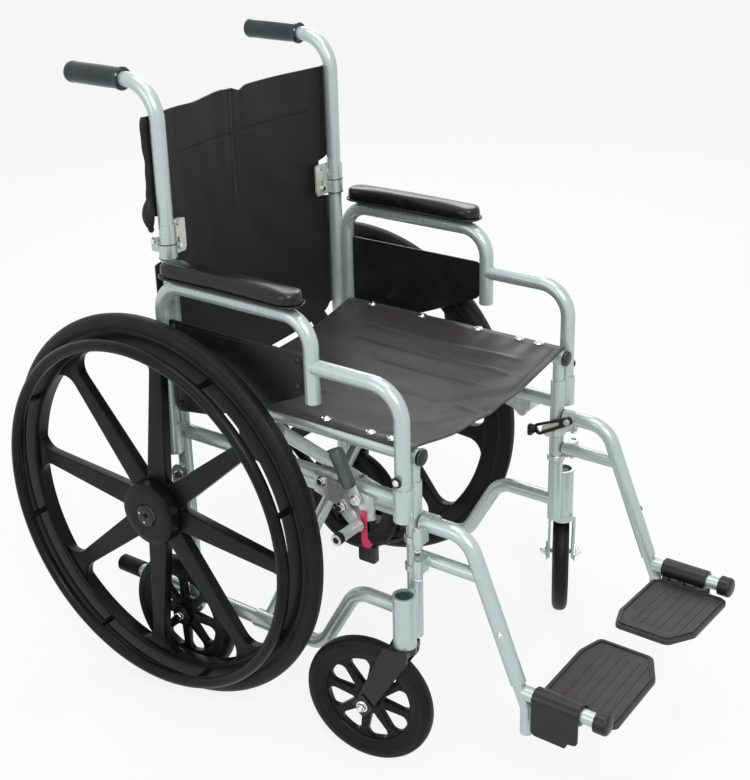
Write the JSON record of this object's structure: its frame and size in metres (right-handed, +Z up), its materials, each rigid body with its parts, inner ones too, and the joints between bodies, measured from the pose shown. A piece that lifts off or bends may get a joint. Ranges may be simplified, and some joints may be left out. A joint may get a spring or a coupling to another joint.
{
  "type": "transport wheelchair",
  "caption": "Folding wheelchair with quick-release drive wheels, small transport wheels, castors, lift-out arms, swing-away footrests and a folding back.",
  "frame": {"origin": "on the floor, midway between the side frames and halfway along the chair", "axes": "+Z up, front of the chair towards -Y, the user's right towards -X"},
  "size_m": [0.6648, 1.0249, 0.9475],
  "materials": {
    "tube_paint": "satin silver-vein paint with a green cast",
    "bare_metal": "satin",
    "black_composite": "moulded, slightly glossy",
    "black_tyre": "solid tyre",
    "grip": "glossy ribbed vinyl",
    "black_plastic": "moulded",
    "footplate_plastic": "moulded, ribbed",
    "pad_vinyl": "black padded vinyl",
    "seat_vinyl": "woven vinyl, sewn channels",
    "back_vinyl": "woven vinyl",
    "lock_grip": "dark grey-green",
    "webbing": "webbing",
    "white_button": "gloss"
  },
  "bodies": {
    "frame_right": {"side_frame_right": "tube_paint", "axle_bracket_right": "bare_metal", "tipping_tip_right": "black_tyre", "lock_bracket_right": "bare_metal", "belt_buckle": "black_plastic", "belt_strap": "webbing", "back_upholstery_lower": "back_vinyl"},
    "frame_left": {"side_frame_left": "tube_paint", "axle_bracket_left": "bare_metal", "tipping_tip_left": "black_tyre", "lock_bracket_left": "bare_metal"},
    "brace_a": {"cross_brace_a": "tube_paint", "brace_bolt": "bare_metal"},
    "brace_b": {"cross_brace_b": "tube_paint"},
    "rail_right": {"seat_rail_right": "tube_paint", "seat_upholstery": "seat_vinyl"},
    "rail_left": {"seat_rail_left": "tube_paint"},
    "drive_wheel_right": {"drive_wheel_right": "black_composite", "drive_tyre_right": "black_tyre", "hand_rim_right": "black_composite", "quick_axle_right": "bare_metal"},
    "axle_button_right": {"axle_button_right": "black_plastic"},
    "transport_wheel_right": {"transport_wheel_right": "black_composite"},
    "castor_fork_right": {"castor_fork_right": "black_plastic"},
    "castor_wheel_right": {"castor_wheel_right": "black_composite"},
    "back_right": {"back_cane_right": "tube_paint", "hand_grip_right": "grip", "back_upholstery_upper": "back_vinyl"},
    "release_right": {"back_release_right": "bare_metal"},
    "arm_right": {"arm_frame_right": "tube_paint", "arm_pad_right": "pad_vinyl", "arm_panel_right": "black_plastic"},
    "arm_button_right": {"arm_button_right": "white_button"},
    "hanger_right": {"hanger_right": "tube_paint", "footrest_tube_right": "bare_metal"},
    "hanger_latch_right": {"hanger_latch_right": "black_plastic"},
    "footplate_right": {"footplate_right": "footplate_plastic"},
    "lock_lever_right": {"lock_lever_right": "lock_grip"},
    "brake_shoe_right": {"brake_shoe_right": "bare_metal"},
    "drive_wheel_left": {"drive_wheel_left": "black_composite", "drive_tyre_left": "black_tyre", "hand_rim_left": "black_composite", "quick_axle_left": "bare_metal"},
    "axle_button_left": {"axle_button_left": "black_plastic"},
    "transport_wheel_left": {"transport_wheel_left": "black_composite"},
    "castor_fork_left": {"castor_fork_left": "tube_paint"},
    "castor_wheel_left": {"castor_wheel_left": "black_composite"},
    "back_left": {"back_cane_left": "tube_paint", "hand_grip_left": "grip"},
    "release_left": {"back_release_left": "bare_metal"},
    "arm_left": {"arm_frame_left": "tube_paint", "arm_pad_left": "pad_vinyl", "arm_panel_left": "black_plastic"},
    "arm_button_left": {"arm_button_left": "white_button"},
    "hanger_left": {"hanger_left": "tube_paint", "footrest_tube_left": "bare_metal"},
    "hanger_latch_left": {"hanger_latch_left": "black_plastic"},
    "footplate_left": {"footplate_left": "footplate_plastic"},
    "lock_lever_left": {"lock_lever_left": "lock_grip"},
    "brake_shoe_left": {"brake_shoe_left": "bare_metal"}
  },
  "joints": [
    {"name": "fold", "type": "hinge", "parent": "frame_right", "child": "brace_a", "pos_m": [-0.195, 0.0615, 0.124], "axis": [0, -1, 0], "range_deg": [0, 32], "deforming": ["seat_upholstery", "back_upholstery_lower", "back_upholstery_upper"]},
    {"name": "brace_cross", "type": "hinge", "parent": "brace_a", "child": "brace_b", "pos_m": [0, 0.0465, 0.293], "axis": [0, -1, 0], "range_deg": [-65, 1]},
    {"name": "frame_left_hinge", "type": "hinge", "parent": "brace_b", "child": "frame_left", "pos_m": [0.195, 0.0315, 0.124], "axis": [0, -1, 0], "range_deg": [-1, 33]},
    {"name": "rail_left_hinge", "type": "hinge", "parent": "brace_a", "child": "rail_left", "pos_m": [0.195, 0.0465, 0.462], "axis": [0, -1, 0], "range_deg": [-33, 1]},
    {"name": "rail_right_hinge", "type": "hinge", "parent": "brace_b", "child": "rail_right", "pos_m": [-0.195, 0.0465, 0.462], "axis": [0, -1, 0], "range_deg": [-1, 33]},
    {"name": "drive_spin_right", "type": "hinge", "parent": "frame_right", "child": "drive_wheel_right", "pos_m": [-0.257, 0.2075, 0.305], "axis": [1, 0, 0], "continuous": true},
    {"name": "axle_button_right", "type": "slide", "parent": "drive_wheel_right", "child": "axle_button_right", "axis": [1, 0, 0], "range_m": [0, 0.004], "stiffness_N_per_m": 600},
    {"name": "transport_spin_right", "type": "hinge", "parent": "frame_right", "child": "transport_wheel_right", "pos_m": [-0.222, 0.2075, 0.102], "axis": [1, 0, 0], "continuous": true},
    {"name": "castor_swivel_right", "type": "hinge", "parent": "frame_right", "child": "castor_fork_right", "pos_m": [-0.2215, -0.2115, 0.2035], "axis": [0, 0, 1], "continuous": true},
    {"name": "castor_spin_right", "type": "hinge", "parent": "castor_fork_right", "child": "castor_wheel_right", "pos_m": [-0.23042, -0.1552, 0.098], "axis": [0.9877, 0.1564, 0], "continuous": true},
    {"name": "back_fold", "type": "hinge", "parent": "frame_right", "child": "back_right", "pos_m": [-0.195, 0.2251, 0.706], "axis": [-1, 0, 0], "range_deg": [0, 130]},
    {"name": "back_release_right", "type": "slide", "parent": "frame_right", "child": "release_right", "axis": [0, 0, -1], "range_m": [0, 0.009], "stiffness_N_per_m": 400},
    {"name": "arm_lift_right", "type": "slide", "parent": "frame_right", "child": "arm_right", "axis": [0, 0, 1], "range_m": [0, 0.1]},
    {"name": "arm_button_right", "type": "slide", "parent": "arm_right", "child": "arm_button_right", "axis": [1, 0, 0], "range_m": [0, 0.003], "stiffness_N_per_m": 600},
    {"name": "hanger_swing_right", "type": "hinge", "parent": "frame_right", "child": "hanger_right", "pos_m": [-0.215, -0.2305, 0.388], "axis": [0, 0, -1], "range_deg": [0, 90]},
    {"name": "hanger_latch_right", "type": "hinge", "parent": "hanger_right", "child": "hanger_latch_right", "pos_m": [-0.183, -0.2375, 0.388], "axis": [1, 0, 0], "range_deg": [0, 15], "stiffness_Nm_per_rad": 1, "springref_deg": -17.19},
    {"name": "footplate_flip_right", "type": "hinge", "parent": "hanger_right", "child": "footplate_right", "pos_m": [-0.195, -0.4355, 0.18], "axis": [0, -1, 0], "range_deg": [-1, 91]},
    {"name": "wheel_lock_right", "type": "hinge", "parent": "frame_right", "child": "lock_lever_right", "pos_m": [-0.212, -0.1305, 0.402], "axis": [1, 0, 0], "range_deg": [0, 54]},
    {"name": "brake_shoe_right", "type": "hinge", "parent": "frame_right", "child": "brake_shoe_right", "pos_m": [-0.212, -0.1105, 0.388], "axis": [1, 0, 0], "range_deg": [-1, 62.5]},
    {"name": "drive_spin_left", "type": "hinge", "parent": "frame_left", "child": "drive_wheel_left", "pos_m": [0.257, 0.2075, 0.305], "axis": [1, 0, 0], "continuous": true},
    {"name": "axle_button_left", "type": "slide", "parent": "drive_wheel_left", "child": "axle_button_left", "axis": [-1, 0, 0], "range_m": [0, 0.004], "stiffness_N_per_m": 600},
    {"name": "transport_spin_left", "type": "hinge", "parent": "frame_left", "child": "transport_wheel_left", "pos_m": [0.222, 0.2075, 0.102], "axis": [1, 0, 0], "continuous": true},
    {"name": "castor_swivel_left", "type": "hinge", "parent": "frame_left", "child": "castor_fork_left", "pos_m": [0.2215, -0.2115, 0.2035], "axis": [0, 0, -1], "continuous": true},
    {"name": "castor_spin_left", "type": "hinge", "parent": "castor_fork_left", "child": "castor_wheel_left", "pos_m": [0.27135, -0.18387, 0.098], "axis": [0.4848, -0.8746, 0], "continuous": true},
    {"name": "back_fold_left", "type": "hinge", "parent": "frame_left", "child": "back_left", "pos_m": [0.195, 0.2251, 0.706], "axis": [-1, 0, 0], "range_deg": [-1, 131]},
    {"name": "back_release_left", "type": "slide", "parent": "frame_left", "child": "release_left", "axis": [0, 0, -1], "range_m": [0, 0.009], "stiffness_N_per_m": 400},
    {"name": "arm_lift_left", "type": "slide", "parent": "frame_left", "child": "arm_left", "axis": [0, 0, 1], "range_m": [0, 0.1]},
    {"name": "arm_button_left", "type": "slide", "parent": "arm_left", "child": "arm_button_left", "axis": [-1, 0, 0], "range_m": [0, 0.003], "stiffness_N_per_m": 600},
    {"name": "hanger_swing_left", "type": "hinge", "parent": "frame_left", "child": "hanger_left", "pos_m": [0.215, -0.2305, 0.388], "axis": [0, 0, 1], "range_deg": [0, 90]},
    {"name": "hanger_latch_left", "type": "hinge", "parent": "hanger_left", "child": "hanger_latch_left", "pos_m": [0.183, -0.2375, 0.388], "axis": [1, 0, 0], "range_deg": [0, 15], "stiffness_Nm_per_rad": 1, "springref_deg": -17.19},
    {"name": "footplate_flip_left", "type": "hinge", "parent": "hanger_left", "child": "footplate_left", "pos_m": [0.195, -0.4355, 0.18], "axis": [0, 1, 0], "range_deg": [-1, 91]},
    {"name": "wheel_lock_left", "type": "hinge", "parent": "frame_left", "child": "lock_lever_left", "pos_m": [0.212, -0.1305, 0.402], "axis": [1, 0, 0], "range_deg": [0, 54]},
    {"name": "brake_shoe_left", "type": "hinge", "parent": "frame_left", "child": "brake_shoe_left", "pos_m": [0.212, -0.1105, 0.388], "axis": [1, 0, 0], "range_deg": [-1, 62.5]}
  ],
  "couplings": [
    {"joint": "brace_cross", "follows": "fold", "ratio": -2},
    {"joint": "frame_left_hinge", "follows": "fold", "ratio": 1},
    {"joint": "rail_left_hinge", "follows": "fold", "ratio": -1},
    {"joint": "rail_right_hinge", "follows": "fold", "ratio": 1},
    {"joint": "footplate_flip_right", "follows": "fold", "ratio": 2.8125},
    {"joint": "brake_shoe_right", "follows": "wheel_lock_right", "ratio": 1.1481},
    {"joint": "back_fold_left", "follows": "back_fold", "ratio": 1},
    {"joint": "footplate_flip_left", "follows": "fold", "ratio": 2.8125},
    {"joint": "brake_shoe_left", "follows": "wheel_lock_left", "ratio": 1.1481}
  ]
}
